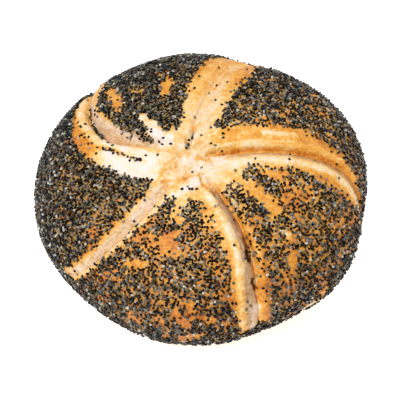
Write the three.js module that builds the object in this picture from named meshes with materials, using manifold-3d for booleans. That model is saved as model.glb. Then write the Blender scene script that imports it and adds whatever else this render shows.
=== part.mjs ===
// A poppy-seed star roll (Kaiser roll): one domed, flat-bottomed roll whose top is cut into five
// lobes by creases that swirl clockwise, with poppy seeds stuck to the lobes.
// Millimetres, +Z up. The roll stands on Z = 0 with its bounding box centred over the origin.
import * as THREE from "three";
import { mergeVertices } from "three/addons/utils/BufferGeometryUtils.js";
import Module from "manifold-3d";

// Driving dimensions
const WIDTH = 105; // mean diameter at the widest level
const HEIGHT = 46; // top of the dome, before the creases are pressed in
const WIDEST_LEVEL = 18.8; // height of the widest level above the table
const UNDER_DEPTH = 24.5; // depth of the rounded underside below the widest level, before it is flattened
const SHOULDER = 2.2; // squareness of the dome's shoulder: 2 is an ellipse, more is boxier
const STAR_CENTRE = { x: -2.9, y: -8 }; // where the creases meet, beside the roll's own axis

// Lumps of the outline. Lobes swell out of it, and it is drawn in where creases end and at the rear
// left, where the roll lay against its neighbour on the tray: bearing and spread in degrees, then mm
const OUTLINE_LUMPS = [
  { bearing: 26, spread: 25, height: 1.7 },
  { bearing: 70, spread: 18, height: -1.4 },
  { bearing: 125, spread: 30, height: -1.5 },
  { bearing: 230, spread: 18, height: -1 },
  { bearing: 260, spread: 22, height: 1 },
  { bearing: 298, spread: 16, height: -1.6 },
  { bearing: 322, spread: 16, height: 1.1 },
  { bearing: 350, spread: 15, height: -1 },
];
const LUMPS_START = [40, 70]; // polar angles between which the lumps start, degrees
const LUMPS_LOST_UNDER = 0.8; // share of them that has faded where the underside turns flat

// The five creases, counter-clockwise from the one on the right. `bearings` are its compass bearings
// in degrees, seen from the star's centre, at polar angles of 0, 30, 60 and 90 degrees.
// The crease reaches its full `depth` between the polar angles `start` and fades out at `reach`.
// Clockwise of its bottom is the torn wall, `wall` mm wide, with a soft ridge along its top: `rim` is
// the ridge's height and half width, and `rimPlace` its distance from the bottom. On the other side
// the next lobe's rounded edge, `edge` mm wide, leans over the crease by `lean` mm. The bands without
// seeds are `bareWall` mm wide on the wall side and `bareEdge` mm on the other. Pairs of widths and
// places hold near the star's centre and near the outline.
const CREASES = [
  {
    bearings: [28, 13, 1, -12], start: [0, 17], reach: 100,
    depth: 3.7, edge: 1.9, lean: 0.3, wall: [3.9, 4.6], rim: [0.8, 1.5], rimPlace: [5.5, 6.2],
    bareEdge: [8.6, 2], bareWall: [8, 10.5],
  },
  {
    bearings: [93, 82, 74, 62], start: [0, 12], reach: 95,
    depth: 3, edge: 5, lean: 0.2, wall: [6, 4], rim: [0.3, 2], rimPlace: [7, 5],
    bareEdge: [4.5, 8.5], bareWall: [6, 7],
  },
  {
    bearings: [155, 159, 144, 130], start: [12, 32], reach: 92,
    depth: 4.8, edge: 4.5, lean: 0.5, wall: [5, 5], rim: [0.4, 2], rimPlace: [6, 6],
    bareEdge: [12, 4.7], bareWall: [3, 9.5],
  },
  {
    bearings: [236, 232, 227, 220], start: [6, 24], reach: 104,
    depth: 1.7, edge: 3, lean: 0.3, wall: [3.7, 3.2], rim: [0.3, 0.8], rimPlace: [3.7, 3.2],
    bareEdge: [2.2, 2.2], bareWall: [4.6, 4],
  },
  {
    bearings: [310, 302, 294, 290], start: [1, 16], reach: 108,
    depth: 4.2, edge: 2.2, lean: 0.3, wall: [4.7, 5.2], rim: [0.9, 1.2], rimPlace: [5.5, 6.4],
    bareEdge: [1.6, 2.8], bareWall: [7.5, 8.2],
  },
];
const CREASE_END = 90; // polar angle of the last bearing, degrees
const BARE_FROM = 15; // polar angles between which the bare bands change width, degrees
const BARE_TO = 70;
const WALL_CURVE = 1.6; // 1 makes the torn walls straight, more makes them steep at the bottom
const FADE = { from: 35, to: 80, share: 0.38 }; // outwards a crease loses depth down to this share
const NEAR_TO_FAR = [20, 58]; // polar angles between which the pairs above change, degrees
const RIMS_START = [6, 20]; // polar angles between which rims and leaning edges start, degrees

// Mesh of the dough
const COLUMNS_PER_LOBE = 15;
const DOME_ROWS = 26; // from the star's centre to the edge of the flat underside
const BASE_ROWS = 2; // across the flat underside
const COLUMN_CROWDING = 0.72; // 0 spaces the columns evenly, near 1 crowds them at the creases
const ROW_CROWDING = 0.25; // crowds the rows towards the widest level

// Poppy seeds at the size of real ones, and few enough to stay light
const SEED = { length: 1.3, width: 1.0, height: 0.85, sides: 5, rings: 3 };
const SEED_PLACES = 260; // places tried over the whole dome
const SEED_SINK = 0.45; // share of a seed's height that is stuck in the crust
const SIZE_RANGE = 0.2; // share by which the seeds differ in size
const BARE_CENTRE = 11.5; // radius round the star's centre without seeds
const SEED_END = 118; // polar angle below which no seeds stick, degrees
const DRAW_START = 20061; // start value of the random draw

const TURN = 2 * Math.PI;
const DEGREE = Math.PI / 180;
const { clamp, euclideanModulo, lerp, smoothstep } = THREE.MathUtils;

// The smooth curve that each crease's bearing follows on its way down from the star's centre
for (const crease of CREASES) {
  const knots = crease.bearings.map((bearing, step) => new THREE.Vector2(step, bearing));
  crease.course = new THREE.SplineCurve(knots);
}

// Bearing of a crease in radians at a polar angle in degrees
function bearingOf(crease, polar) {
  return crease.course.getPoint(clamp(polar / CREASE_END, 0, 1)).y * DEGREE;
}

// Turn from one bearing to another in radians, from -PI to PI
function turnBetween(from, to) {
  return euclideanModulo(to - from + Math.PI, TURN) - Math.PI;
}

// Height of the outline's lumps in mm, outwards or inwards, at a bearing in radians
function lumps(bearing) {
  let total = 0;
  for (const lump of OUTLINE_LUMPS) {
    const away = turnBetween(lump.bearing * DEGREE, bearing) / (lump.spread * DEGREE);
    total += lump.height * Math.exp(-away * away);
  }
  return total;
}

// Point of the roll without its creases, at a bearing and a polar angle in radians
function domePoint(bearing, polar) {
  const cosine = Math.cos(polar);
  const above = cosine >= 0;
  const rise = above ? (HEIGHT - WIDEST_LEVEL) * cosine : UNDER_DEPTH * cosine;
  const lumpShare = above ? 1 : 1 - LUMPS_LOST_UNDER * Math.min(-rise / WIDEST_LEVEL, 1);
  const uneven = lumps(bearing) * lumpShare * smoothstep(polar / DEGREE, ...LUMPS_START);
  const radius = (WIDTH / 2 + uneven) * Math.sin(polar) ** (2 / SHOULDER);
  const starShare = above ? cosine ** 2 : 0; // the bearings turn about the star's centre at the top
  const x = starShare * STAR_CENTRE.x + radius * Math.cos(bearing);
  const y = starShare * STAR_CENTRE.y + radius * Math.sin(bearing);
  return { position: new THREE.Vector3(x, y, WIDEST_LEVEL + rise), radius };
}

// Outward direction of the dome, taken from the ellipsoid that it nearly is
function domeNormal({ x, y, z }) {
  const flat = (WIDTH / 2) ** 2;
  const tall = (z > WIDEST_LEVEL ? HEIGHT - WIDEST_LEVEL : UNDER_DEPTH) ** 2;
  return new THREE.Vector3(x / flat, y / flat, (z - WIDEST_LEVEL) / tall).normalize();
}

// How much of its full depth a crease has at a polar angle in degrees
function creaseStrength(crease, polar) {
  const outer = lerp(1, FADE.share, smoothstep(polar, FADE.from, FADE.to));
  return smoothstep(polar, ...crease.start) * outer * (1 - smoothstep(polar, FADE.to, crease.reach));
}

// Distance in mm from a crease, positive on the clockwise side, where the torn wall is
function distanceFrom(crease, bearing, polar, radius) {
  return turnBetween(bearing, bearingOf(crease, polar)) * radius;
}

// Share of the depth across a crease: a quarter-round lobe edge on one side, a slope on the other
function creaseSection(edge, wall, distance) {
  if (distance < 0) {
    const inward = 1 - Math.min(-distance / edge, 1);
    return 1 - Math.sqrt(1 - inward * inward);
  }
  return (1 - Math.min(distance / wall, 1)) ** WALL_CURVE;
}

// Point of the finished crust at a bearing and a polar angle in radians
function crustPoint(bearing, polar) {
  const { position, radius } = domePoint(bearing, polar);
  const degrees = polar / DEGREE;
  const awayFromCentre = smoothstep(degrees, ...RIMS_START);
  const outward = smoothstep(degrees, ...NEAR_TO_FAR);
  let depthPower = 0;
  let rim = 0;
  let lean = 0;
  for (const crease of CREASES) {
    const strength = creaseStrength(crease, degrees);
    const distance = distanceFrom(crease, bearing, degrees, radius);
    const section = creaseSection(crease.edge, lerp(...crease.wall, outward), distance);
    depthPower += (strength * crease.depth * section) ** 4;
    if (distance > 0) {
      const [height, halfWidth] = crease.rim;
      const fromRim = (distance - lerp(...crease.rimPlace, outward)) / halfWidth;
      rim += height * strength * Math.exp(-fromRim * fromRim);
    } else if (distance > -crease.edge) {
      lean += crease.lean * strength * Math.sin((Math.PI * distance) / crease.edge) ** 2;
    }
  }
  const clockwise = new THREE.Vector3(Math.sin(bearing), -Math.cos(bearing), 0);
  const depth = depthPower ** 0.25; // where creases run together, the deepest one counts most
  position.addScaledVector(domeNormal(position), rim * awayFromCentre - depth);
  position.addScaledVector(clockwise, lean * awayFromCentre);
  return position;
}

// Bearing of a column of the mesh, given its share of the turn: columns follow the creases
function columnBearing(share, polar) {
  const lobes = CREASES.length;
  const place = euclideanModulo(share, 1) * lobes;
  const lobe = Math.floor(place);
  const within = place - lobe;
  const crowded = within - (COLUMN_CROWDING * Math.sin(TURN * within)) / TURN;
  const start = bearingOf(CREASES[lobe], polar / DEGREE);
  const next = CREASES[(lobe + 1) % lobes];
  const end = bearingOf(next, polar / DEGREE) + (lobe + 1 === lobes ? TURN : 0);
  return lerp(start, end, crowded);
}

// The dough: a sphere whose rows run from the star's centre down to the flat underside
function makeDough() {
  const rows = DOME_ROWS + BASE_ROWS;
  const sphere = new THREE.SphereGeometry(1, COLUMNS_PER_LOBE * CREASES.length, rows);
  const place = sphere.getAttribute("position");
  const grid = sphere.getAttribute("uv");
  const flatEdge = Math.PI - Math.acos(WIDEST_LEVEL / UNDER_DEPTH);
  for (let i = 0; i < place.count; i++) {
    const row = Math.round((1 - grid.getY(i)) * rows);
    const share = Math.min(row / DOME_ROWS, 1);
    const polar = flatEdge * (share + (ROW_CROWDING * Math.sin(TURN * share)) / TURN);
    const point = crustPoint(columnBearing(grid.getX(i), polar), polar);
    if (row >= DOME_ROWS) {
      point.multiplyScalar(1 - (row - DOME_ROWS) / BASE_ROWS);
      point.z = 0;
    }
    place.setXYZ(i, point.x, point.y, point.z);
  }
  return sphere;
}

// True where the lobes carry seeds
function carriesSeeds(bearing, polar) {
  const degrees = polar / DEGREE;
  const { radius } = domePoint(bearing, polar);
  if (radius < BARE_CENTRE) {
    return false;
  }
  const outward = smoothstep(degrees, BARE_FROM, BARE_TO);
  return CREASES.every((crease) => {
    const distance = distanceFrom(crease, bearing, degrees, radius);
    const wall = lerp(...crease.bareWall, outward);
    const edge = lerp(...crease.bareEdge, outward);
    return degrees > crease.reach || distance > wall || distance < -edge;
  });
}

// Random numbers from 0 to 1 that come out the same on every run
function makeDraw(start) {
  let state = start;
  return () => {
    state = (state + 0x6d2b79f5) | 0;
    let mixed = Math.imul(state ^ (state >>> 15), 1 | state);
    mixed = (mixed + Math.imul(mixed ^ (mixed >>> 7), 61 | mixed)) ^ mixed;
    return ((mixed ^ (mixed >>> 14)) >>> 0) / 2 ** 32;
  };
}

// Seeds lie on a golden-angle spiral, so that they are evenly spread over the dome
function seedPlaces() {
  const goldenAngle = Math.PI * (3 - Math.sqrt(5));
  const places = [];
  for (let i = 0; i < SEED_PLACES; i++) {
    const share = (i + 0.5) / SEED_PLACES;
    const polar = Math.acos(1 - share * (1 - Math.cos(SEED_END * DEGREE)));
    const bearing = i * goldenAngle;
    if (carriesSeeds(bearing, polar)) {
      places.push({ bearing, polar });
    }
  }
  return places;
}

// One seed, lying flat on the crust and turned at random
function makeSeed({ bearing, polar }, draw) {
  const step = 0.01;
  const point = crustPoint(bearing, polar);
  const along = crustPoint(bearing + step, polar).sub(point);
  const down = crustPoint(bearing, polar + step).sub(point);
  const normal = down.cross(along).normalize();
  const size = 1 + SIZE_RANGE * (draw() - 0.5);
  const seed = new THREE.SphereGeometry(size / 2, SEED.sides, SEED.rings);
  seed.rotateX(Math.PI / 2);
  seed.scale(SEED.length, SEED.width, SEED.height);
  seed.rotateZ(draw() * TURN);
  seed.applyQuaternion(new THREE.Quaternion().setFromUnitVectors(new THREE.Vector3(0, 0, 1), normal));
  const centre = point.addScaledVector(normal, SEED.height * size * (0.5 - SEED_SINK));
  seed.translate(centre.x, centre.y, centre.z);
  return seed;
}

const wasm = await Module();
wasm.setup();

function toManifold(geometry) {
  geometry.deleteAttribute("normal");
  geometry.deleteAttribute("uv");
  const merged = mergeVertices(geometry);
  const vertProperties = new Float32Array(merged.getAttribute("position").array);
  const triVerts = new Uint32Array(merged.getIndex().array);
  return new wasm.Manifold(new wasm.Mesh({ numProp: 3, vertProperties, triVerts }));
}

function toGeometry(manifold) {
  const { vertProperties, triVerts } = manifold.getMesh();
  const geometry = new THREE.BufferGeometry();
  geometry.setAttribute("position", new THREE.BufferAttribute(vertProperties, 3));
  geometry.setIndex(new THREE.BufferAttribute(triVerts, 1));
  geometry.computeVertexNormals();
  return geometry;
}

// The whole roll: the dough with its seeds fused on, moved so that its box is centred
function makeRoll() {
  const draw = makeDraw(DRAW_START);
  let solid = toManifold(makeDough());
  for (const place of seedPlaces()) {
    solid = solid.add(toManifold(makeSeed(place, draw)));
  }
  const geometry = toGeometry(solid);
  geometry.computeBoundingBox();
  const centre = geometry.boundingBox.getCenter(new THREE.Vector3());
  geometry.translate(-centre.x, -centre.y, 0);
  const crust = new THREE.MeshStandardMaterial({ color: 0xd99a45, roughness: 0.75, metalness: 0 });
  const roll = new THREE.Mesh(geometry, crust);
  roll.name = "roll";
  return roll;
}

const object = new THREE.Group();
object.add(makeRoll());

export default object;
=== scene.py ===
# A poppy-seed star roll (Kaiser roll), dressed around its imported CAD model: the baked crust with its
# torn creases, thousands of poppy seeds stuck to the lobes, and a pale stage.
# The formulas work in millimetres, and Blender's own lengths are metres.

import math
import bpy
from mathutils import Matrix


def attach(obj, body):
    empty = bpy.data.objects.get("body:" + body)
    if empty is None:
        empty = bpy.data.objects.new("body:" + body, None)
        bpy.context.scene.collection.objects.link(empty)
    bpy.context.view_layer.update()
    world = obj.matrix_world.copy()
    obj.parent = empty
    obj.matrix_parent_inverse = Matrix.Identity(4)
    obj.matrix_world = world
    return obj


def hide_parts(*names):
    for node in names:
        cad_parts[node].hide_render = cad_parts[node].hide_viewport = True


bl_info = {
    "name": "Poppy-seed star roll",
    "version": (1, 0, 0),
    "blender": (4, 5, 0),
    "location": "View3D > Sidebar > Roll",
    "description": "Makes the crust and the poppy seeds of a star roll, and its stage",
    "category": "Add Mesh",
}

import bpy
import numpy as np
from bpy.props import FloatProperty, FloatVectorProperty, IntProperty, PointerProperty, StringProperty
from mathutils import Vector, noise

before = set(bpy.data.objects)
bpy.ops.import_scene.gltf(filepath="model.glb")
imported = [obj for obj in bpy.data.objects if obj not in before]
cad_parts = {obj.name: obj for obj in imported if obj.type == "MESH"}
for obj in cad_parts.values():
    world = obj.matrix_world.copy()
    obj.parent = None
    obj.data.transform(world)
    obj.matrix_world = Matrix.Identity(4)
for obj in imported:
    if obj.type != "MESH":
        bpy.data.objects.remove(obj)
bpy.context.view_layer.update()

MM = 0.001
TURN = 2 * math.pi

# ---- the dough

# Lumps of the outline. Lobes swell out of it, and it is drawn in where creases end and at the rear left,
# where the roll lay against its neighbour on the tray: bearing and spread in degrees, then mm
OUTLINE_LUMPS = (
    (26, 25, 1.7),
    (70, 18, -1.4),
    (125, 30, -1.5),
    (230, 18, -1.0),
    (260, 22, 1.0),
    (298, 16, -1.6),
    (322, 16, 1.1),
    (350, 15, -1.0),
)
LUMPS_START = (40, 70)  # polar angles between which the lumps start, degrees
LUMPS_LOST_UNDER = 0.8  # share of them that has faded where the underside turns flat

# The five creases, counter-clockwise from the one on the right.
#   bearings    compass bearings in degrees at polar angles of 0, 30, 60 and 90 degrees
#   start       polar angles between which the crease reaches its full depth
#   depth       of the bottom of the crease below the dome, mm
#   edge, lean  width of the rounded lobe edge on its counter-clockwise side, and how far it leans over
#   wall        width of the torn wall on its clockwise side, near the centre and near the outline
#   rim         of the ridge along the top of that wall: height, half width, distance from the crease
#               near the centre and near the outline
#   reach       polar angle at which the crease has faded out
#   pinch       share of the widths on the wall side that is left where the crease starts
#   bare_edge, bare_wall   widths of the bands without seeds on the two sides, at BARE_STATIONS
#   torn        how much of the wall is torn crumb, from 0 to 1
#   span        polar angles between which the browning goes from near to far
#   browning    of the lobe edge, its lip, the groove, the wall, the rim and beyond it: near, far
# In most creases the groove is browner than the wall beside it: partly browned crust, partly painted
# shade of the crevice.
CREASES = (
    dict(bearings=(28, 13, 1, -12), start=(0, 17), depth=3.7, edge=2.5, lean=0.3,
         wall=(3.9, 4.6), rim=(0.8, 1.5, 5.5, 6.2), reach=100, pinch=1,
         bare_edge=(8.5, 9, 6.5, 2.5, 0.5), bare_wall=(8, 7, 10, 10.5, 7),
         torn=0.7, span=(15, 50), browning=(
             (0.5, 0.65), (0.2, 0.5), (0.5, 0.65), (0.4, 0.55), (0.15, 0.25), (0.4, 0.65))),
    dict(bearings=(93, 82, 74, 62), start=(0, 12), depth=3.0, edge=5, lean=0.2,
         wall=(6, 4), rim=(0.3, 2.0, 7, 5), reach=95, pinch=1,
         bare_edge=(4, 6, 7.5, 8.5, 9), bare_wall=(7, 8.5, 9.5, 8, 6.5),
         torn=0.25, span=(14, 50), browning=(
             (0.35, 0.6), (0.3, 0.5), (0.2, 0.35), (0.2, 0.4), (0.3, 0.6), (0.45, 0.65))),
    dict(bearings=(155, 159, 144, 130), start=(12, 32), depth=4.8, edge=4.5, lean=0.5,
         wall=(5, 5), rim=(0.4, 2.0, 6, 6), reach=92, pinch=1,
         bare_edge=(12, 11, 10, 4.5, 1.5), bare_wall=(1.5, 5, 6, 9.5, 9.5),
         torn=0.9, span=(26, 38), browning=(
             (0.0, 0.7), (0.1, 0.25), (0.4, 0.4), (0.2, 0.2), (0.35, 0.5), (0.25, 0.55))),
    dict(bearings=(236, 232, 227, 220), start=(6, 24), depth=1.7, edge=3, lean=0.3,
         wall=(3.7, 3.2), rim=(0.3, 0.8, 3.7, 3.2), reach=104, pinch=1,
         bare_edge=(2, 1.5, 1.5, 1, 1.5), bare_wall=(4.5, 4.5, 5, 4.5, 4),
         torn=0.8, span=(26, 58), browning=(
             (0.35, 0.45), (0.25, 0.35), (0.3, 0.3), (0.2, 0.25), (0.35, 0.5), (0.55, 0.65))),
    dict(bearings=(315, 303, 293, 290), start=(1, 16), depth=4.2, edge=2.2, lean=0.3,
         wall=(3.8, 4.9), rim=(0.9, 1.1, 4.9, 5.8), reach=108, pinch=0.8,
         bare_edge=(0.5, 1.5, 2.5, 4, 3), bare_wall=(7, 8, 8.5, 6.5, 7),
         torn=1.0, span=(30, 58), browning=(
             (0.6, 0.75), (0.5, 0.6), (0.5, 0.45), (0.4, 0.4), (0.2, 0.25), (0.5, 0.6))),
)
CREASE_END = 90  # polar angle of the last bearing, degrees
BARE_STATIONS = (15, 30, 45, 60, 75)  # polar angles at which the bare bands' widths are given, degrees
WALL_CURVE = 1.6  # 1 makes the torn walls straight, more makes them steep at the bottom
# Outwards a crease loses depth down to this share of it, between these polar angles in degrees
FADE = dict(start=35, end=80, share=0.38)
PINCHED = (8, 21)  # polar angles between which a pinched crease widens, degrees
NEAR_TO_FAR = (20, 58)  # polar angles between which the walls' widths change, degrees
RIMS_START = (6, 20)  # polar angles between which the rims and the leaning edges start, degrees
# Where across a crease its browning is given: in widths of the lobe edge, in widths of the wall, and in
# half widths of the rim from its middle. STOP_LEVELS picks one of the six levels for each place.
EDGE_STOPS = (-1.15, -0.85, -0.3, -0.1)
WALL_STOP = 0.8
RIM_STOPS = (-0.4, 0.4, 1.4)
STOP_LEVELS = [0, 1, 1, 2, 3, 4, 4, 5]
BROWNING_ENDS = (0.95, 1.3)  # shares of a bare band's width between which its crease's browning ends
BROWNING_FADES = 70  # polar angle from which that browning fades out, degrees
BROWNING_EVENED = 0.8  # mm, keeps the nearest crease from counting alone where creases meet

# Small features of the crust, each a soft capsule between two places. A place is a bearing and a polar
# angle in degrees, and radii and depths are in mm.
BARE_PATCHES = (  # start, end, radius
    ((255, 30), (256, 34), 2.4),  # rubbed bare on the front lobe
    ((260, 20), (260, 21), 1.0),
    ((257, 11), (256, 20), 1.2),  # notch in that lobe's tip
    ((340, 14), (331, 22), 1.2),  # streaks on the right front lobe
    ((331, 23), (325, 32), 1.7),
    ((350, 19), (351, 28), 1.0),
    ((109, 30), (104, 38), 1.4),  # on the rear lobe
    ((138, 36), (133, 50), 1.6),  # beside the left crease
    ((131, 12), (133, 24), 1.5),  # fold from the hub into the rear lobe
    ((136, 12), (137, 17), 1.3),
    ((239, 47), (245, 44), 1.0),
    ((262, 66), (265, 74), 1.2),
    ((285, 54), (284, 66), 1.4),
    ((270, 84), (266, 86), 1.0),
    ((246, 78), (249, 80), 0.9),
    ((264, 59), (267, 62), 0.8),
    ((271, 69), (275, 73), 0.8),
    ((255, 73), (258, 76), 0.8),
    ((312, 50), (310, 56), 0.9),
    ((318, 41), (317, 43), 0.9),
    ((315, 84), (313, 92), 0.9),  # folds low on the right front lobe
    ((313, 92), (307, 96), 0.9),
)
SEED_ROWS = (  # start, end, radius, cover
    ((144, 53), (150, 48), 0.5, 0.8),  # caught in the left crease
    ((150, 48), (155, 41), 0.5, 0.8),
    ((155, 41), (161, 34), 0.45, 0.8),
    ((161, 34), (166, 27), 0.4, 0.7),
    ((168, 30), (170, 24), 0.5, 0.8),  # along the fold beside it
    ((170, 24), (177, 15), 0.6, 0.8),
    ((163, 42), (168, 36), 1.6, 0.3),
    ((145, 12), (150, 17), 1.2, 0.3),
    ((254, 9), (288, 9), 0.4, 0.8),  # across the hub
    ((303, 36), (299, 52), 1.4, 0.22),  # scattered beside the front crease
    ((299, 52), (295, 74), 1.6, 0.3),
    ((354, 18), (342, 22), 1.6, 0.9),  # clumps on the right front lobe
    ((342, 22), (336, 29), 2.0, 0.92),
    ((318, 14), (318, 18), 1.4, 0.9),
    ((318, 18), (320, 28), 1.9, 0.9),
    ((320, 28), (317, 34), 1.6, 0.85),
    ((88, 13), (96, 8), 0.4, 0.5),
    ((98, 25), (93, 38), 1.2, 0.35),  # scattered left of the rear crease
    ((100, 7), (104, 5), 0.5, 0.95),
)
MARKS = (  # start, end, radius, depth, and how much browner the crust is there
    ((297, 39), (296, 43), 0.8, 1.7, 0.9),  # torn holes in the front crease, their browning painted shade in them
    ((293, 54), (292, 60), 0.7, 1.3, 0.8),
    ((301, 32), (299, 37), 0.8, 0.7, 0.3),
    ((289, 66), (287, 86), 1.2, 0, -0.2),
    ((290, 73), (288, 90), 1.5, -0.2, -0.25),  # pale end of that crease
    ((288, 63), (286, 84), 2.0, 0, 0.15),
    ((318, 41), (317, 43), 1.0, -0.6, -0.4),  # blister
    ((315, 84), (313, 92), 0.8, -0.5, -0.3),  # folds low on the right front lobe
    ((313, 92), (307, 96), 0.9, -0.6, -0.35),
    ((28, 26), (20, 36), 1.0, -0.25, -0.3),  # stretched ridge above the right crease, raised, and paler as a painted highlight
    ((132, 10), (133, 24), 1.9, 0.3, -0.3),  # fold from the hub into the rear lobe
    ((136, 11), (138, 17), 1.6, 0.1, -0.3),
    ((22, 22), (13, 38), 0.4, 0.25, 0.1),
    ((167, 33), (170, 24), 0.7, 0.5, 0.3),  # fold beside the left crease
    ((170, 24), (178, 14), 0.7, 0.4, 0.15),
    ((88, 14), (100, 7), 0.6, 0.4, 0.1),  # folds that run together at the hub
    ((100, 7), (120, 2), 0.6, 0.4, 0.15),
    ((60, 2), (7, 6), 0.6, 0.45, 0.3),
    ((34, 5), (24, 15), 0.9, 0.4, 0.25),
    ((199, 4), (221, 9), 0.9, 0.5, 0.15),
    ((221, 9), (231, 15), 0.8, 0.4, 0.15),
    ((182, 5), (202, 9), 1.4, 0.1, 0.25),
    ((230, 8), (252, 5), 0.5, 0.35, 0.2),
    ((252, 5), (302, 4), 0.5, 0.35, 0.15),
    ((300, 6), (246, 12), 1.2, -0.3, -0.25),  # pale ridge in front of the hub
    ((302, 4), (296, 8), 0.6, 0.4, 0.2),
    ((296, 8), (301, 13), 0.7, 0.4, 0.2),
)
CAPSULE_BORDER = (0.5, 1.5)  # shares of its radius between which such a capsule ends

# ---- the surface of the crust

# Smooth noise in blots of four sizes in mm makes the crust uneven. A row says how much the blots of
# each size add to something, in mm or in browning.
BLOT_SIZES = (14, 6, 2.5, 1)
BLOTS = dict(
    relief=(0.40, 0.18, 0.12, 0.06),
    hub_relief=(0, 0.5, 0.2, 0),
    torn_walls=(0, 0, 0, 0.5),
    seed_borders=(0, 0, 1.1, 0.9),
    across_crease=(0, 0, 0.5, 0.25),
    lobe_browning=(0, 0.12, 0, 0),
    hub_browning=(0, 0.24, 0.10, 0),
    underside_browning=(0.05, 0, 0, 0),
)
NOISE_STEP = (17.3, 5.1, 11.7)  # shift of the noise from one seed number to the next
# Fine creases at the hub, where the lobes were pinched together: size and depth in mm
WRINKLES = dict(size=5, sharpness=7, depth=0.4, browning=0.16)
# Fibres of the torn crumb: size, height and the shift from crease to crease in mm, and their width as
# a share of their length
FIBRES = dict(size=0.8, height=0.2, shift=7.0, slimness=0.15)
# Distances from the star's centre in mm between which the hub gives way to the lobes
HUB_ENDS = dict(wrinkles=(9, 18), relief=(6, 18), browning=(6, 15), tearing=(5, 13))
# Polar angles in degrees between which the underside begins
UNDERSIDE_STARTS = dict(seeds=(112, 128), relief=(118, 134), browning=(122, 136))

# How brown the crust is away from the creases: 0 is the palest and 1 dark brown. Three rows add to the
# lobes between two distances from the star's centre in mm, or between two polar angles in degrees.
LOBE_BROWN = 0.30
CROWN_BROWN = (0.28, 10, 28)
FLANK_BROWN = (0.08, 45, 75)
LOW_BROWN = (-0.22, 82, 104)
FRONT_BROWN = (0.04, 255)  # most towards this bearing
HUB_BROWN = 0.18
UNDERSIDE_BROWN = 0.66

# How torn the hub is, where 1 is all crumb. The walls' crumb begins over so many mm, is full up to a
# share of the wall, begins between two polar angles in degrees and fades out from a third.
TORN = dict(hub=0.35, edge=0.4, full=0.85, start=(6, 14), fades=75)

# Share of the places for seeds on the lobes that hold one, at bearings in degrees
COVER_BEARINGS = (0, 45, 120, 190, 240, 330, 360)
COVER = (0.8, 0.84, 0.99, 0.96, 0.84, 0.75, 0.8)
THINNED = (0.15, 0.6)  # values of the noise between which seeds are rubbed off
BAND_BORDER = 0.3  # mm, half the width over which the seeds end at a bare band
HUB_BORDER = 0.4  # the same at the hub
BANDS_END = (22, 14)  # degrees before a crease's reach between which its bare bands end
PATCH_BARE = 0.97  # share of its seeds that a bare patch has lost
SPILL = 0.16  # share of the places just inside a bare band that still hold a seed
SPILL_REACH = 1.4  # mm, over which this fades

FLAT_RIPPLE = 0.02  # mm, how uneven the flat underside stays
FLAT_WITHIN = 0.05  # mm above the lowest point, which still counts as flat

# ---- mesh sizes

COLUMNS = 400
DOME_ROWS = 220  # from the star's centre to the edge of the flat underside
BASE_ROWS = 6
COLUMN_CROWDING = 0.55  # 0 spaces the columns evenly, near 1 crowds them at the creases
SEED_SIDES = 6
SEED_RINGS = 4


def linear(hex_colour):
    """Linear RGBA of an sRGB hex colour such as "#e5a04a"."""
    shares = [int(hex_colour[i:i + 2], 16) / 255 for i in (1, 3, 5)]
    return [c / 12.92 if c <= 0.04045 else ((c + 0.055) / 1.055) ** 2.4 for c in shares] + [1]


def add_node(tree, kind, inputs=None, stops=(), **settings):
    """Adds a node with its settings. Each input is a value, an output socket to link from, or a node
    whose first output is meant. stops are a colour ramp's places, each with its sRGB hex colour."""
    node = tree.nodes.new(kind)
    for name, value in settings.items():
        setattr(node, name, value)
    for socket, value in (inputs or {}).items():
        if isinstance(value, bpy.types.Node):
            value = next(output for output in value.outputs if output.enabled)
        if isinstance(value, bpy.types.NodeSocket):
            tree.links.new(value, node.inputs[socket])
        else:
            node.inputs[socket].default_value = value
    for number, (place, colour) in enumerate(stops):
        elements = node.color_ramp.elements
        element = elements[number] if number < len(elements) else elements.new(place)
        element.position = place
        element.color = linear(colour)
    return node


def smooth(value, low, high):
    """0 below low, 1 above high and an S-curve between them."""
    share = np.clip((value - low) / (high - low), 0, 1)
    return share * share * (3 - 2 * share)


def ramp(value, amount, low, high):
    """0 below low, the amount above high and an S-curve between them."""
    return amount * smooth(value, low, high)


def mix(a, b, share):
    """The value at a share of the way from a to b."""
    return a + (b - a) * share


def turn_between(start, end):
    """Turn from one bearing to another in radians, from -pi to pi."""
    return (end - start + math.pi) % TURN - math.pi


def ripples(points, size, seed=0):
    """Smooth noise from about -1 to 1 at each point, with lumps of the given size in mm."""
    shift = Vector([seed * step for step in NOISE_STEP])
    return np.array([noise.noise(Vector(point) / size + shift) for point in points])


# ---- the shape of the crust


def bearing_of(crease, polar):
    """Bearing of a crease in radians, on a smooth curve through its bearings. polar is in degrees."""
    knots = np.array(crease["bearings"], float)
    spans = len(knots) - 1
    place = np.clip(polar / CREASE_END, 0, 1) * spans
    span = np.minimum(place.astype(int), spans - 1)
    t = place - span
    ends = np.concatenate([knots[:1], knots, knots[-1:]])
    before, start, end, after = (ends[span + i] for i in range(4))
    leave = (end - before) / 2
    arrive = (after - start) / 2
    cubic = (2 * start - 2 * end + leave + arrive) * t**3
    square = (3 * end - 3 * start - 2 * leave - arrive) * t**2
    return np.radians(cubic + square + leave * t + start)


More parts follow.
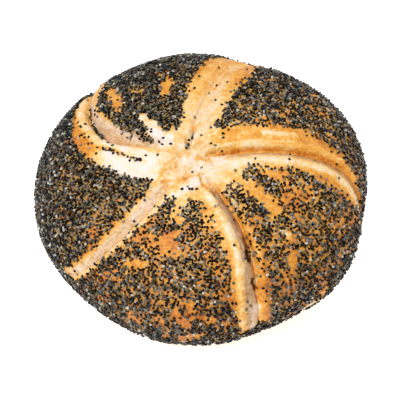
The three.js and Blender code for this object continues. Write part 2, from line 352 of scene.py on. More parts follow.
def dome(dough, bearing, polar):
    """Points of the roll without its creases, and their radius. Angles are in radians."""
    cosine = np.cos(polar)
    above = cosine >= 0
    rise = np.where(above, (dough.height - dough.widest_level) * cosine, dough.under_depth * cosine) / MM
    sunk = np.minimum(-rise * MM / dough.widest_level, 1)
    lumps = sum(
        height * np.exp(-(turn_between(math.radians(place), bearing) / math.radians(spread)) ** 2)
        for place, spread, height in OUTLINE_LUMPS)
    lumps = lumps * smooth(np.degrees(polar), *LUMPS_START)
    lumps = lumps * np.where(above, 1, 1 - LUMPS_LOST_UNDER * sunk)
    radius = (dough.width / MM / 2 + lumps) * np.sin(polar) ** (2 / dough.shoulder)
    star_share = np.where(above, cosine**2, 0)
    x = star_share * dough.star[0] / MM + radius * np.cos(bearing)
    y = star_share * dough.star[1] / MM + radius * np.sin(bearing)
    return np.stack([x, y, dough.widest_level / MM + rise], axis=-1), radius


def dome_normal(dough, points):
    """Outward directions of the dome, taken from the ellipsoid that it nearly is."""
    x, y, z = points.T
    level = dough.widest_level / MM
    flat = (dough.width / MM / 2) ** 2
    tall = np.where(z > level, dough.height - dough.widest_level, dough.under_depth) / MM
    slopes = np.stack([x / flat, y / flat, (z - level) / tall**2], axis=-1)
    return slopes / np.linalg.norm(slopes, axis=1, keepdims=True)


def strength(crease, polar):
    """How much of its full depth a crease has at a polar angle in degrees."""
    outer = mix(1, FADE["share"], smooth(polar, FADE["start"], FADE["end"]))
    return smooth(polar, *crease["start"]) * outer * (1 - smooth(polar, FADE["end"], crease["reach"]))


def pinch(crease, polar):
    """Share of the widths on the wall side that is left at a polar angle in degrees."""
    return mix(crease["pinch"], 1, smooth(polar, *PINCHED))


def wall_width(crease, polar):
    """Width of the torn wall in mm."""
    return pinch(crease, polar) * mix(*crease["wall"], smooth(polar, *NEAR_TO_FAR))


def rim_place(crease, polar):
    """Distance in mm from the crease to the top of the rim."""
    return pinch(crease, polar) * mix(*crease["rim"][2:], smooth(polar, *NEAR_TO_FAR))


def distance_from(crease, bearing, polar, radius):
    """Distance in mm from a crease, positive on the clockwise side, where the torn wall is."""
    return turn_between(bearing, bearing_of(crease, polar)) * radius


def press_creases(dough, bearing, polar, points, radius):
    """Presses the creases into the points of the dome, raises their rims and leans the lobes over."""
    degrees = np.degrees(polar)
    away = smooth(degrees, *RIMS_START)
    depth_power, rim, lean = np.zeros((3, len(points)))
    for crease in CREASES:
        share = strength(crease, degrees)
        distance = distance_from(crease, bearing, degrees, radius)
        inward = 1 - np.clip(-distance / crease["edge"], 0, 1)
        lobe_edge = 1 - np.sqrt(1 - inward**2)
        torn_wall = (1 - np.clip(distance / wall_width(crease, degrees), 0, 1)) ** WALL_CURVE
        section = np.where(distance < 0, lobe_edge, torn_wall)
        depth_power += (share * crease["depth"] * section) ** 4
        height, half_width = crease["rim"][:2]
        from_rim = (distance - rim_place(crease, degrees)) / half_width
        rim += np.where(distance > 0, height * share * np.exp(-from_rim**2), 0)
        leaning = (distance < 0) & (distance > -crease["edge"])
        bow = np.sin(math.pi * distance / crease["edge"]) ** 2
        lean += np.where(leaning, crease["lean"] * share * bow, 0)
    out = dome_normal(dough, points)
    clockwise = np.stack([np.sin(bearing), -np.cos(bearing), np.zeros(len(points))], axis=-1)
    lift = rim * away - depth_power**0.25  # where creases run together, the deepest counts most
    return points + out * lift[:, None] + clockwise * (lean * away)[:, None]


def column_bearing(share, polar):
    """Bearings of the mesh's columns, which follow the creases, from their shares of the turn."""
    bounds = [bearing_of(crease, polar) for crease in CREASES]
    bounds.append(bounds[0] + TURN)
    place = share % 1 * len(CREASES)
    lobe = np.minimum(place.astype(int), len(CREASES) - 1)
    within = place - lobe
    crowded = within - COLUMN_CROWDING * np.sin(TURN * within) / TURN
    starts = np.choose(lobe, bounds[:-1])
    ends = np.choose(lobe, bounds[1:])
    return mix(starts, ends, crowded)


def flat_edge(dough):
    """Polar angle in radians at the edge of the flat underside."""
    return math.pi - math.acos(dough.widest_level / dough.under_depth)


class Crust:
    """Everything about the crust's vertices that the mesh and its materials need."""

    def __init__(self, dough, share, row):
        self.polar = flat_edge(dough) * np.minimum(row / DOME_ROWS, 1)
        self.degrees = np.degrees(self.polar)
        self.bearing = column_bearing(share, self.degrees)
        self.smooth_points, self.radius = dome(dough, self.bearing, self.polar)
        self.distances = [distance_from(c, self.bearing, self.degrees, self.radius) for c in CREASES]
        self.under = np.maximum(row - DOME_ROWS, 0) / BASE_ROWS
        self.dough = dough
        self.blots = [ripples(self.smooth_points, size, seed) for seed, size in enumerate(BLOT_SIZES)]
        pinched = 1 - smooth(self.radius, *HUB_ENDS["wrinkles"])
        folds = np.abs(ripples(self.smooth_points, WRINKLES["size"], seed=7))
        self.wrinkles = pinched * np.clip(1 - WRINKLES["sharpness"] * folds, 0, 1)

    def uneven(self, name):
        """What the blots add to something, in mm or in browning."""
        return sum(amount * blot for amount, blot in zip(BLOTS[name], self.blots))

    def bare_width(self, crease, distance):
        """Width in mm of the band without seeds, on the side of the crease where each point is."""
        edge = np.interp(self.degrees, BARE_STATIONS, crease["bare_edge"])
        wall = np.interp(self.degrees, BARE_STATIONS, crease["bare_wall"])
        return np.where(distance < 0, edge, wall)

    def capsule(self, start, end, radius, fray=0):
        """1 inside a soft capsule between two places on the dome, 0 outside. fray shifts its border."""
        places = np.radians(np.array([start, end], float))
        (a, b), _ = dome(self.dough, places[:, 0], places[:, 1])
        along = b - a
        share = np.clip((self.smooth_points - a) @ along / (along @ along), 0, 1)
        away = np.linalg.norm(self.smooth_points - a - share[:, None] * along, axis=1)
        return 1 - smooth(away + fray * radius, *(radius * border for border in CAPSULE_BORDER))

    def marks(self):
        """Depth in mm and added browning of the small marks."""
        depth, brown = np.zeros((2, len(self.degrees)))
        for start, end, radius, mark_depth, mark_brown in MARKS:
            inside = self.capsule(start, end, radius, self.blots[3])
            depth += mark_depth * inside
            brown += mark_brown * inside
        return depth, brown

    def browning(self):
        """How brown the crust is: 0 is the palest, torn last in the oven, and 1 is dark brown."""
        lobes = LOBE_BROWN + ramp(self.radius, *CROWN_BROWN) + ramp(self.degrees, *FLANK_BROWN)
        lobes += ramp(self.degrees, *LOW_BROWN)
        amount, front = FRONT_BROWN
        lobes += amount * np.cos(self.bearing - math.radians(front)) + self.uneven("lobe_browning")
        total, reached = np.zeros((2, len(lobes)))
        weights = np.full(len(lobes), 1e-6)  # never 0, so that the division below works
        for crease, distance in zip(CREASES, self.distances):
            _, half_width, place, _ = crease["rim"]
            stops = [stop * crease["edge"] for stop in EDGE_STOPS] + [WALL_STOP * crease["wall"][0]]
            stops += [place + stop * half_width for stop in RIM_STOPS]
            near, far = np.array(crease["browning"])[STOP_LEVELS].T
            wander = distance + self.uneven("across_crease")
            wander = np.where(wander > 0, wander * place / rim_place(crease, self.degrees), wander)
            outward = smooth(self.degrees, *crease["span"])
            crossed = mix(np.interp(wander, stops, near), np.interp(wander, stops, far), outward)
            inside = 1 - smooth(np.abs(distance) / self.bare_width(crease, distance), *BROWNING_ENDS)
            inside *= 1 - smooth(self.degrees, BROWNING_FADES, crease["reach"])
            weight = inside / (np.abs(distance) + BROWNING_EVENED) ** 2
            total += weight * crossed
            weights += weight
            reached = np.maximum(reached, inside)
        brown = mix(lobes, total / weights, reached)
        hub = HUB_BROWN + self.uneven("hub_browning") + WRINKLES["browning"] * self.wrinkles
        brown = mix(hub, brown, smooth(self.radius, *HUB_ENDS["browning"])) + self.marks()[1]
        underside = UNDERSIDE_BROWN + self.uneven("underside_browning")
        return np.clip(mix(brown, underside, smooth(self.degrees, *UNDERSIDE_STARTS["browning"])), 0, 1)

    def tearing(self):
        """1 where the crust has torn open and shows the crumb, 0 on the skin."""
        torn = TORN["hub"] * (1 - smooth(self.radius, *HUB_ENDS["tearing"]))
        start = smooth(self.degrees, *TORN["start"])
        for crease, distance in zip(CREASES, self.distances):
            width = wall_width(crease, self.degrees)
            wander = distance + self.uneven("torn_walls")
            wall = smooth(wander, 0, TORN["edge"]) * (1 - smooth(wander, width * TORN["full"], width))
            fade = start * (1 - smooth(self.degrees, TORN["fades"], crease["reach"]))
            torn = np.maximum(torn, crease["torn"] * wall * fade)
        return torn

    def seed_cover(self, seeds):
        """Share of the places for seeds that hold one."""
        fray = self.uneven("seed_borders")
        cover = np.interp(np.degrees(self.bearing) % 360, COVER_BEARINGS, COVER)
        cover -= seeds.thinning * smooth(self.blots[1], *THINNED)
        for crease, distance in zip(CREASES, self.distances):
            width = self.bare_width(crease, distance)
            inside = 1 - smooth(np.abs(distance) + fray, width - BAND_BORDER, width + BAND_BORDER)
            inside *= 1 - smooth(self.degrees, *(crease["reach"] - before for before in BANDS_END))
            stray = SPILL * np.exp(np.minimum(np.abs(distance) - width, 0) / SPILL_REACH)
            cover = mix(cover, np.minimum(stray, cover), inside)
        hub = seeds.bare_hub / MM
        cover *= smooth(self.radius + fray, hub - HUB_BORDER, hub + HUB_BORDER)
        for start, end, radius in BARE_PATCHES:
            cover *= 1 - PATCH_BARE * self.capsule(start, end, radius, self.blots[2])
        for start, end, radius, share in SEED_ROWS:
            cover = np.maximum(cover, share * self.capsule(start, end, radius))
        cover = np.maximum(cover, seeds.strays)
        return cover * (1 - smooth(self.degrees, *UNDERSIDE_STARTS["seeds"]))

    def relief(self):
        """Small unevenness of the crust in mm, along its outward direction."""
        lift = self.uneven("relief")
        hub = 1 - smooth(self.radius, *HUB_ENDS["relief"])
        lift += hub * self.uneven("hub_relief") - WRINKLES["depth"] * self.wrinkles
        fibres = ripples(self.grain() * (1, FIBRES["slimness"], 1), FIBRES["size"], seed=5)
        lift += self.tearing() * FIBRES["height"] * fibres - self.marks()[0]
        return lift * (1 - smooth(self.degrees, *UNDERSIDE_STARTS["relief"]))

    def grain(self):
        """Across and along the nearest crease, in mm, for the stretched fibres of the crumb."""
        nearest = np.argmin(np.abs(self.distances), axis=0)
        across = np.choose(nearest, self.distances)
        along = self.polar * self.dough.width / MM / 2
        return np.stack([across, along, FIBRES["shift"] * nearest], axis=-1)

    def points(self):
        """Finished positions in mm. The rows of the underside close in on its middle."""
        pressed = press_creases(self.dough, self.bearing, self.polar, self.smooth_points, self.radius)
        raised = pressed + dome_normal(self.dough, self.smooth_points) * self.relief()[:, None]
        return raised * np.stack([1 - self.under, 1 - self.under, np.ones(len(raised))], axis=-1)


def vertex_places(mesh):
    """Coordinates of the vertices, a row for each."""
    places = np.empty(len(mesh.vertices) * 3, np.float32)
    mesh.vertices.foreach_get("co", places)
    return places.reshape(-1, 3)


def flat_ring_centre(points):
    """Middle of the box round the points that lie on the table."""
    flat = points[points[:, 2] < points[:, 2].min() + FLAT_WITHIN]
    return (flat[:, :2].min(axis=0) + flat[:, :2].max(axis=0)) / 2


def cad_offset(dough):
    """Shift in mm from the formulas' frame to the CAD's, whose box is centred over the origin."""
    bearing = np.linspace(0, TURN, COLUMNS, endpoint=False)
    ring, _ = dome(dough, bearing, np.full(COLUMNS, flat_edge(dough)))
    cad_places = vertex_places(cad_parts["roll"].data) / MM
    shift = flat_ring_centre(cad_places) - flat_ring_centre(ring)
    return np.array([shift[0], shift[1], 0])


# ---- materials


def new_material(name):
    """A material, its node tree and the object's own coordinates in that."""
    material = bpy.data.materials.new(name)
    material.use_nodes = True
    tree = material.node_tree
    tree.nodes.clear()
    return material, tree, add_node(tree, "ShaderNodeTexCoord").outputs["Object"]


MOTTLE = ((3.5, 4.0, 0.6), (0.9, 3.0, 0.7), (0.35, 1.0, 0.35))  # size in mm, detail and amount


def baked_crust(colours):
    """Wheat crust, glazed with water and baked: golden satin skin that is pale where it opened late,
    and dull, fibrous crumb along the tears."""
    material, tree, place = new_material("baked_wheat_crust")
    grain = add_node(tree, "ShaderNodeAttribute", attribute_name="grain").outputs["Vector"]
    mottle, torn, seeded = (
        add_node(tree, "ShaderNodeAttribute", attribute_name=name).outputs["Fac"]
        for name in ("browning", "torn", "seeded"))
    for size, detail, amount in MOTTLE:
        spots = add_node(tree, "ShaderNodeTexNoise", {
            "Vector": place, "Scale": 1 / (size * MM), "Detail": detail})
        centred = add_node(tree, "ShaderNodeMath", {0: spots, 1: 0.5}, operation="SUBTRACT")
        mottle = add_node(tree, "ShaderNodeMath", {0: centred, 1: amount, 2: mottle},
                          operation="MULTIPLY_ADD")
    stretched = add_node(tree, "ShaderNodeMapping", {"Vector": grain, "Scale": (1.6, 0.22, 1)})
    fibres = add_node(tree, "ShaderNodeTexNoise", {
        "Vector": stretched, "Scale": 1.0, "Detail": 3.0, "Roughness": 0.6})
    skin = add_node(tree, "ShaderNodeValToRGB", {"Fac": mottle}, stops=(
        (0.0, colours.palest), (0.15, colours.cream), (0.30, colours.straw), (0.46, colours.golden),
        (0.62, colours.amber), (0.78, colours.brown), (1.0, colours.dark),
    ))
    pulled = add_node(tree, "ShaderNodeMath", {0: fibres, 1: 0.5}, operation="SUBTRACT")
    streaked = add_node(tree, "ShaderNodeMath", {0: pulled, 1: 0.45, 2: mottle}, operation="MULTIPLY_ADD")
    crumb = add_node(tree, "ShaderNodeValToRGB", {"Fac": streaked}, stops=(
        (0.0, colours.crumb), (0.35, colours.crumb_shade), (0.7, colours.crumb_hollow),
        (1.0, colours.crumb_hole_shade),
    ))
    surface = add_node(tree, "ShaderNodeMix", {"Factor": torn, "A": skin, "B": crumb}, data_type="RGBA")
    # Painted shade: where seeds lie close, the skin is mixed towards a dull dark brown for the shade
    # between them.
    seed_gap_shade_share = add_node(tree, "ShaderNodeMapRange", {"Value": seeded, "From Min": 0.7, "To Max": 0.7})
    seed_gap_shade = add_node(tree, "ShaderNodeMix", {  # skin that shows between close seeds: painted shade, for the shade the seeds cast on it
        "Factor": seed_gap_shade_share, "A": surface, "B": linear(colours.seed_gap_shade)}, data_type="RGBA")
    roughness = add_node(tree, "ShaderNodeMapRange", {"Value": torn, "To Min": 0.56, "To Max": 0.88})
    wrinkles = add_node(tree, "ShaderNodeTexNoise", {
        "Vector": place, "Scale": 1 / (0.8 * MM), "Detail": 4.0})
    torn_height = add_node(tree, "ShaderNodeMath", {0: fibres, 1: torn}, operation="MULTIPLY")
    height = add_node(tree, "ShaderNodeMath", {0: torn_height, 1: 2.0, 2: wrinkles},
                      operation="MULTIPLY_ADD")
    bump = add_node(tree, "ShaderNodeBump", {"Height": height, "Distance": 0.3 * MM})
    shader = add_node(tree, "ShaderNodeBsdfPrincipled", {
        "Base Color": seed_gap_shade, "Roughness": roughness, "IOR": 1.4, "Normal": bump})
    add_node(tree, "ShaderNodeOutputMaterial", {"Surface": shader})
    return material


def poppy_seed_coat(name, dark, light):
    """Dry poppy seed, a hard netted coat: dark, with a small dull glint, each seed in its own shade."""
    material, tree, place = new_material(name)
    tone = add_node(tree, "ShaderNodeAttribute", attribute_name="tone").outputs["Fac"]
    netting = add_node(tree, "ShaderNodeTexNoise", {
        "Vector": place, "Scale": 1 / (0.35 * MM), "Detail": 1.0})
    base = add_node(tree, "ShaderNodeMath", {0: tone, 1: 0.3}, operation="SUBTRACT")
    shade = add_node(tree, "ShaderNodeMath", {0: netting, 1: 0.6, 2: base}, operation="MULTIPLY_ADD")
    coat = add_node(tree, "ShaderNodeValToRGB", {"Fac": shade}, stops=((0.3, dark), (1.0, light)))
    shader = add_node(tree, "ShaderNodeBsdfPrincipled", {
        "Base Color": coat, "Roughness": 0.2, "IOR": 1.25})
    add_node(tree, "ShaderNodeOutputMaterial", {"Surface": shader})
    return material


def studio_floor(colour):
    """Opal acrylic, lit from below: an even white ground with only faint shadows."""
    material, tree, place = new_material("opal_acrylic")
    mottle = add_node(tree, "ShaderNodeTexNoise", {
        "Vector": place, "Scale": 1 / (60 * MM), "Detail": 1.0})
    white = add_node(tree, "ShaderNodeValToRGB", {"Fac": mottle}, stops=((0.0, colour), (1.0, "#ffffff")))
    shader = add_node(tree, "ShaderNodeBsdfPrincipled", {
        "Base Color": white, "Emission Color": white, "Emission Strength": 0.82, "Roughness": 0.6})
    add_node(tree, "ShaderNodeOutputMaterial", {"Surface": shader})
    return material


# ---- settings


def a_length(name, use, metres):
    """Setting for a length."""
    return FloatProperty(name=name, description=use, default=metres, unit="LENGTH")


def a_share(name, use, share):
    """Setting for a share, from 0 to 1."""
    return FloatProperty(name=name, description=use, default=share, min=0, max=1)


def a_colour(name, use, hex_colour):
    """Setting for an sRGB hex colour."""
    return StringProperty(name=name, description=use, default=hex_colour)


class DoughSettings(bpy.types.PropertyGroup):
    width: a_length("Width", "Mean diameter at the widest level", 0.105)
    height: a_length("Height", "Top of the dome, before the creases are pressed in", 0.046)
    widest_level: a_length("Widest level", "Height of the widest level above the table", 0.0188)
    under_depth: a_length("Under depth", "Depth of the rounded underside before it is flattened", 0.0245)
    shoulder: FloatProperty(
        name="Shoulder", description="Squareness of the dome: 2 is an ellipse, more is boxier",
        default=2.2, min=1.5, max=4)
    star: FloatVectorProperty(
        name="Star centre", description="Where the creases meet, beside the roll's own axis",
        size=2, default=(-0.0029, -0.008), subtype="TRANSLATION", unit="LENGTH")


class CrustColours(bpy.types.PropertyGroup):
    palest: a_colour("Palest", "Skin that opened last", "#f5e4da")
    cream: a_colour("Cream", "Pale ridges", "#f5dcb6")
    straw: a_colour("Straw", "Lightly baked skin", "#f6cc86")
    golden: a_colour("Golden", "Golden skin", "#eeae4c")
    amber: a_colour("Amber", "Well baked skin", "#e29534")
    brown: a_colour("Brown", "Browned skin", "#ca7429")
    dark: a_colour("Dark", "Darkest skin", "#8a4d1e")
    # Painted shade: the dull brown that the skin between close seeds is mixed towards, for the shade
    # between them
    seed_gap_shade: a_colour("Seed gap shade", "Skin between close seeds", "#957a4e")
    crumb: a_colour("Crumb", "Torn crumb, palest", "#f0d9c6")
    crumb_shade: a_colour("Crumb shade", "Torn crumb", "#dab388")
    crumb_hollow: a_colour("Crumb hollow", "Shaded crumb", "#a5733f")
    # Painted shade: the darkest crumb colour, for the shade in the crumb's holes
    crumb_hole_shade: a_colour("Crumb hole shade", "Holes in the crumb", "#4a3418")


class SeedSettings(bpy.types.PropertyGroup):
    length: a_length("Length", "Of a seed", 0.00104)
    width: a_length("Width", "Of a seed", 0.00086)
    thickness: a_length("Thickness", "Of a seed", 0.00072)
    spacing: a_length("Spacing", "Least distance between seeds", 0.0007)
    sink: a_share("Sink", "Share of a seed's thickness that is stuck in the crust", 0.28)
    heaped: a_share("Heaped", "Share of the places where a second seed lies on top", 0.9)
    strays: a_share("Strays", "Share of the places on bare crust that hold a seed", 0.014)
    thinning: a_share("Thinning", "How much of the cover is rubbed off in places", 0.30)
    bare_hub: a_length("Bare hub", "Radius round the star's centre without seeds", 0.0132)
    draw: IntProperty(name="Draw", description="Start value of the random draw", default=61, min=0)


class StageSettings(bpy.types.PropertyGroup):
    elevation: FloatProperty(
        name="Elevation", description="Of the camera above the table",
        default=math.radians(57), subtype="ANGLE")
    lens: FloatProperty(name="Lens", description="Focal length in mm", default=110)
    framed: a_length("Framed width", "Width that the frame shows at the roll", 0.1283)
    target: FloatVectorProperty(
        name="Target", description="Point that the camera looks at, before the roll is centred",
        default=(-0.00027, -0.0026, 0.017), subtype="TRANSLATION", unit="LENGTH")
    floor_colour: a_colour("Floor", "sRGB colour of the floor", "#f8f8f8")
    ambient: FloatProperty(name="Ambient", description="Strength of the light all round", default=0.22)
    key: FloatProperty(name="Key", description="Power of the large light", default=7.9, unit="POWER")
    fill: FloatProperty(name="Fill", description="Power of the small light", default=2.6, unit="POWER")


# ---- the crust


def only(obj):
    """Makes obj the active object and the only one that is selected."""
    bpy.ops.object.select_all(action="DESELECT")
    obj.select_set(True)
    bpy.context.view_layer.objects.active = obj


def store(mesh, name, kind, field, values):
    """Stores a value for each vertex as a named attribute."""
    attribute = mesh.attributes.new(name, kind, "POINT")
    attribute.data.foreach_set(field, values.astype(np.float32).ravel())


def order_faces(mesh):
    """Lists the faces in the order of their vertices. A new sphere has them in another order on each
    run, and the seeds would fall elsewhere."""
    faces = []
    for polygon in mesh.polygons:
        corners = list(polygon.vertices)
        first = corners.index(min(corners))
        faces.append(corners[first:] + corners[:first])
    points = [vertex.co.copy() for vertex in mesh.vertices]
    mesh.clear_geometry()
    mesh.from_pydata(points, [], sorted(faces))


def flatten_underside(obj):
    """Sets everything at or below the table flat on it, as the tray does."""
    only(obj)
    bpy.ops.object.mode_set(mode="EDIT")
    bpy.ops.mesh.select_mode(type="VERT")
    bpy.ops.mesh.select_all(action="DESELECT")
    bpy.ops.object.mode_set(mode="OBJECT")
    for vertex in obj.data.vertices:
        vertex.select = vertex.co.z < FLAT_RIPPLE * MM
    bpy.ops.object.mode_set(mode="EDIT")
    bpy.ops.transform.resize(value=(1, 1, 0), center_override=(0, 0, 0))
    bpy.ops.object.mode_set(mode="OBJECT")


class ROLL_OT_crust(bpy.types.Operator):
    """Makes the baked crust of the roll, in place of the CAD node"""

    bl_idname = "roll.crust"
    bl_label = "Bake crust"

    def execute(self, context):
        scene = context.scene
        rows = DOME_ROWS + BASE_ROWS
        bpy.ops.mesh.primitive_uv_sphere_add(segments=COLUMNS, ring_count=rows, radius=1, calc_uvs=False)
        obj = context.object
        mesh = obj.data
        obj.name = mesh.name = "crust"
        order_faces(mesh)
        unit = vertex_places(mesh).astype(float)
        share = np.arctan2(unit[:, 1], unit[:, 0]) / TURN
        row = np.round(np.arccos(np.clip(unit[:, 2], -1, 1)) / math.pi * rows)
        crust = Crust(scene.roll_dough, share, row)
        points = (crust.points() + cad_offset(scene.roll_dough)) * MM
        mesh.vertices.foreach_set("co", points.astype(np.float32).ravel())
        mesh.update()
        store(mesh, "browning", "FLOAT", "value", crust.browning())
        store(mesh, "torn", "FLOAT", "value", crust.tearing())
        store(mesh, "grain", "FLOAT_VECTOR", "vector", crust.grain())
        store(mesh, "seeded", "FLOAT", "value", crust.seed_cover(scene.roll_seeds))
        flatten_underside(obj)
        bpy.ops.object.shade_smooth()
        mesh.materials.append(baked_crust(scene.roll_colours))
        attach(obj, "root")
        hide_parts("roll")
        return {"FINISHED"}


# ---- the seeds

# Kinds of poppy seed: name, share of all seeds, then the darkest and lightest colour of the coat
SEED_KINDS = (
    ("poppy_seeds_slate", 0.19, "#0d1013", "#6e7478"),
    ("poppy_seeds_black", 0.23, "#010102", "#0c0b0c"),
    ("poppy_seeds_grey", 0.17, "#161718", "#989287"),
    ("poppy_seeds_brown", 0.14, "#090502", "#6b4a2c"),
    ("poppy_seeds_olive", 0.15, "#121108", "#8a8158"),
    ("poppy_seeds_dusty", 0.12, "#4e4d49", "#d6d0bf"),
)
# Form of a seed: depth of its hollow side and how narrow that is, taper towards one end, and bend
SEED_HOLLOW = 0.22
HOLLOW_NARROWNESS = 4
SEED_TAPER = 0.12
SEED_BEND = 0.08
SEED_SIZES = (0.86, 1.12)  # smallest and largest, as shares of the size in the settings
SEED_LEAN = (0.45, 0.35)  # how far seeds lean at most, radians
PLACES = 6  # in a square millimetre, before those too close to another are dropped
# The second layer: how far it keeps to dense cover, its spacing as a share of the first layer's, its
# height above that as a share of a seed's thickness, and the shift of its random draws
HEAP_POWER = 4.0
HEAP_SPACING = 1.2
HEAP_LIFT = 0.6
HEAP_DRAW = 100


def make_seed(seeds, material):
    """One kidney-shaped poppy seed, lying on its side."""
    bpy.ops.mesh.primitive_uv_sphere_add(segments=SEED_SIDES, ring_count=SEED_RINGS, radius=0.5)
    seed = bpy.context.object
    order_faces(seed.data)
    bpy.ops.object.mode_set(mode="EDIT")
    bpy.ops.mesh.select_all(action="SELECT")
    bpy.ops.transform.rotate(value=math.pi / 2, orient_axis="Y", center_override=(0, 0, 0))
    bpy.ops.object.mode_set(mode="OBJECT")
    for vertex in seed.data.vertices:
        along, across, up = vertex.co * 2
        hollow = SEED_HOLLOW * math.exp(-HOLLOW_NARROWNESS * along * along) * max(-across, 0)
        taper = 1 - SEED_TAPER * along
        vertex.co.x = along / 2 * seeds.length
        vertex.co.y = ((across * taper + hollow) / 2 + SEED_BEND * along * along) * seeds.width
        vertex.co.z = up * taper / 2 * seeds.thickness
    bpy.ops.object.shade_smooth()
    seed.data.materials.append(material)
    return seed


def scatter_tree(name, seeds, seed, low, high):
    """Geometry Nodes that stick seeds to the crust. Of all the places, this kind takes those whose
    random number lies from low to high."""
    tree = bpy.data.node_groups.new(name, "GeometryNodeTree")
    for way in ("INPUT", "OUTPUT"):
        tree.interface.new_socket("Geometry", in_out=way, socket_type="NodeSocketGeometry")
    crust = add_node(tree, "NodeGroupInput")
    cover = add_node(tree, "GeometryNodeInputNamedAttribute", {"Name": "seeded"})
    dense = add_node(tree, "ShaderNodeMath", {0: cover, 1: HEAP_POWER}, operation="POWER")
    heaps = add_node(tree, "ShaderNodeMath", {0: dense, 1: seeds.heaped}, operation="MULTIPLY")
    form = add_node(tree, "GeometryNodeObjectInfo", {"Object": seed}).outputs["Geometry"]
    stuck = (0.5 - seeds.sink) * seeds.thickness
    heaped = stuck + HEAP_LIFT * seeds.thickness
    layers = []
    for share, spacing, lift, draw in (
        (cover, seeds.spacing, stuck, seeds.draw),
        (heaps, seeds.spacing * HEAP_SPACING, heaped, seeds.draw + HEAP_DRAW),
    ):
        places = add_node(tree, "GeometryNodeDistributePointsOnFaces", {
            "Mesh": crust, "Distance Min": spacing, "Density Max": PLACES / MM**2,
            "Density Factor": share, "Seed": draw,
        }, distribute_method="POISSON")
        number = add_node(tree, "FunctionNodeRandomValue", {"Seed": draw + 1})
        above, below = (
            add_node(tree, "FunctionNodeCompare", {"A": number, "B": limit}, operation=operation)
            for limit, operation in ((low, "GREATER_EQUAL"), (high, "LESS_THAN")))
        taken = add_node(tree, "FunctionNodeBooleanMath", {0: above, 1: below}, operation="AND")
        outward = add_node(tree, "ShaderNodeVectorMath", {
            0: places.outputs["Normal"], "Scale": lift}, operation="SCALE")
        raised = add_node(tree, "GeometryNodeSetPosition", {"Geometry": places, "Offset": outward})
        spin = add_node(tree, "FunctionNodeRandomValue", {
            "Min": (-SEED_LEAN[0], -SEED_LEAN[1], 0), "Max": (*SEED_LEAN, TURN), "Seed": draw + 2},
            data_type="FLOAT_VECTOR")
        lie = add_node(tree, "FunctionNodeRotateRotation", {
            "Rotation": places.outputs["Rotation"], "Rotate By": spin}, rotation_space="LOCAL")
        size = add_node(tree, "FunctionNodeRandomValue", {
            "Min": (SEED_SIZES[0],) * 3, "Max": (SEED_SIZES[1],) * 3, "Seed": draw + 3},
            data_type="FLOAT_VECTOR")
        layers.append(add_node(tree, "GeometryNodeInstanceOnPoints", {
            "Points": raised, "Selection": taken, "Instance": form, "Rotation": lie, "Scale": size}))
    together = add_node(tree, "GeometryNodeJoinGeometry")
    for layer in layers:
        tree.links.new(layer.outputs["Instances"], together.inputs["Geometry"])
    shade = add_node(tree, "FunctionNodeRandomValue", {"Seed": seeds.draw + 4})
    toned = add_node(tree, "GeometryNodeStoreNamedAttribute", {
        "Geometry": together, "Name": "tone", "Value": shade}, domain="INSTANCE")
    real = add_node(tree, "GeometryNodeRealizeInstances", {"Geometry": toned})
    add_node(tree, "NodeGroupOutput", {"Geometry": real})
    return tree


def keep_only_seeds(piece, material):
    """Leaves the seeds with their own material and shade, without what they took from the crust."""
    if not piece.data.polygons:
        raise RuntimeError(f"{piece.name}: no seed found a place")
    piece.data.materials.clear()
    piece.data.materials.append(material)
    for name in ("browning", "torn", "grain", "seeded"):
        attribute = piece.data.attributes.get(name)
        if attribute:
            piece.data.attributes.remove(attribute)


class ROLL_OT_seeds(bpy.types.Operator):
    """Sticks the poppy seeds to the crust's lobes"""

    bl_idname = "roll.seeds"
    bl_label = "Scatter poppy seeds"

    def execute(self, context):
        seeds = context.scene.roll_seeds
        crust = bpy.data.objects["crust"]
        low = 0.0
        for name, share, dark, light in SEED_KINDS:
            material = poppy_seed_coat(name.replace("seeds", "seed") + "_coat", dark, light)
            seed = make_seed(seeds, material)
            only(crust)
            bpy.ops.object.duplicate()
            piece = context.object
            piece.name = piece.data.name = name
            scatter = piece.modifiers.new("Scatter", "NODES")
            scatter.node_group = scatter_tree(name, seeds, seed, low, low + share)
            bpy.ops.object.modifier_apply(modifier=scatter.name)
            keep_only_seeds(piece, material)
            bpy.data.objects.remove(seed)
            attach(piece, "root")
            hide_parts("roll")
            low += share
        return {"FINISHED"}


# ---- the stage

FLOOR_WIDTH = 6  # m
LIT_PLACE = (0, 0, 0.02)  # where both lights point, m


def aim(obj, place, target):
    """Puts obj at a place, in metres, and points its -Z axis at the target."""
    obj.location = place
    obj.rotation_euler = (Vector(target) - Vector(place)).to_track_quat("-Z", "Y").to_euler()


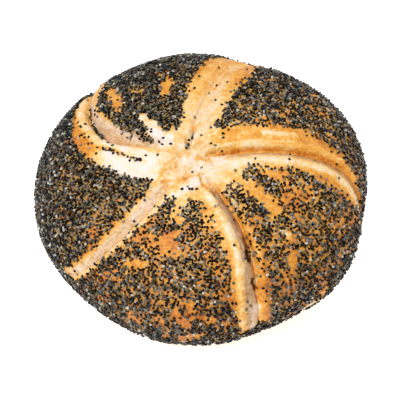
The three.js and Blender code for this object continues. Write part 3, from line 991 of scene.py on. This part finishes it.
class ROLL_OT_stage(bpy.types.Operator):
    """Sets the floor, the soft lights and the camera"""

    bl_idname = "roll.stage"
    bl_label = "Set stage"

    def execute(self, context):
        scene = context.scene
        stage = scene.roll_stage
        bpy.ops.mesh.primitive_plane_add(size=FLOOR_WIDTH)
        floor = context.object
        floor.name = "floor"
        floor.data.materials.append(studio_floor(stage.floor_colour))
        target = Vector(stage.target) + Vector(cad_offset(scene.roll_dough) * MM)
        for name, place, size, power in (  # places and sizes in metres
            ("key_light", (-0.26, -0.24, 0.86), 0.34, stage.key),
            ("fill_light", (0.45, 0.55, 0.60), 0.6, stage.fill),
        ):
            bpy.ops.object.light_add(type="AREA")
            light = context.object
            light.name = name
            light.data.size = size
            light.data.energy = power
            aim(light, place, LIT_PLACE)
        world = bpy.data.worlds.new("studio")
        world.use_nodes = True
        world.node_tree.nodes.clear()
        glow = add_node(world.node_tree, "ShaderNodeBackground", {"Strength": stage.ambient})
        add_node(world.node_tree, "ShaderNodeOutputWorld", {"Surface": glow})
        scene.world = world
        bpy.ops.object.camera_add()
        camera = context.object
        camera.name = "camera"
        camera.data.lens = stage.lens
        away = stage.framed * stage.lens / camera.data.sensor_width
        back = Vector((0, -math.cos(stage.elevation), math.sin(stage.elevation)))
        aim(camera, target + back * away, target)
        scene.camera = camera
        scene.view_settings.view_transform = "Standard"
        return {"FINISHED"}


# ---- the add-on


class ROLL_PT_panel(bpy.types.Panel):
    """Lists the roll's settings and the steps that make it"""

    bl_idname = "ROLL_PT_panel"
    bl_label = "Poppy-seed star roll"
    bl_space_type = "VIEW_3D"
    bl_region_type = "UI"
    bl_category = "Roll"

    def draw(self, context):
        for title, settings, operator in (
            ("Dough", context.scene.roll_dough, None),
            ("Crust", context.scene.roll_colours, "roll.crust"),
            ("Seeds", context.scene.roll_seeds, "roll.seeds"),
            ("Stage", context.scene.roll_stage, "roll.stage"),
        ):
            box = self.layout.box()
            box.label(text=title)
            for name in settings.bl_rna.properties.keys():
                if name not in ("rna_type", "name"):
                    box.prop(settings, name)
            if operator:
                box.operator(operator)


SETTINGS = {
    "roll_dough": DoughSettings,
    "roll_colours": CrustColours,
    "roll_seeds": SeedSettings,
    "roll_stage": StageSettings,
}
CLASSES = (*SETTINGS.values(), ROLL_OT_crust, ROLL_OT_seeds, ROLL_OT_stage, ROLL_PT_panel)


def register():
    for each in CLASSES:
        bpy.utils.register_class(each)
    for name, group in SETTINGS.items():
        setattr(bpy.types.Scene, name, PointerProperty(type=group))


def unregister():
    for name in SETTINGS:
        delattr(bpy.types.Scene, name)
    for each in reversed(CLASSES):
        bpy.utils.unregister_class(each)


def main():
    """Makes the scene."""
    register()
    bpy.ops.roll.crust()
    bpy.ops.roll.seeds()
    bpy.ops.roll.stage()


if __name__ == "__main__":
    main()
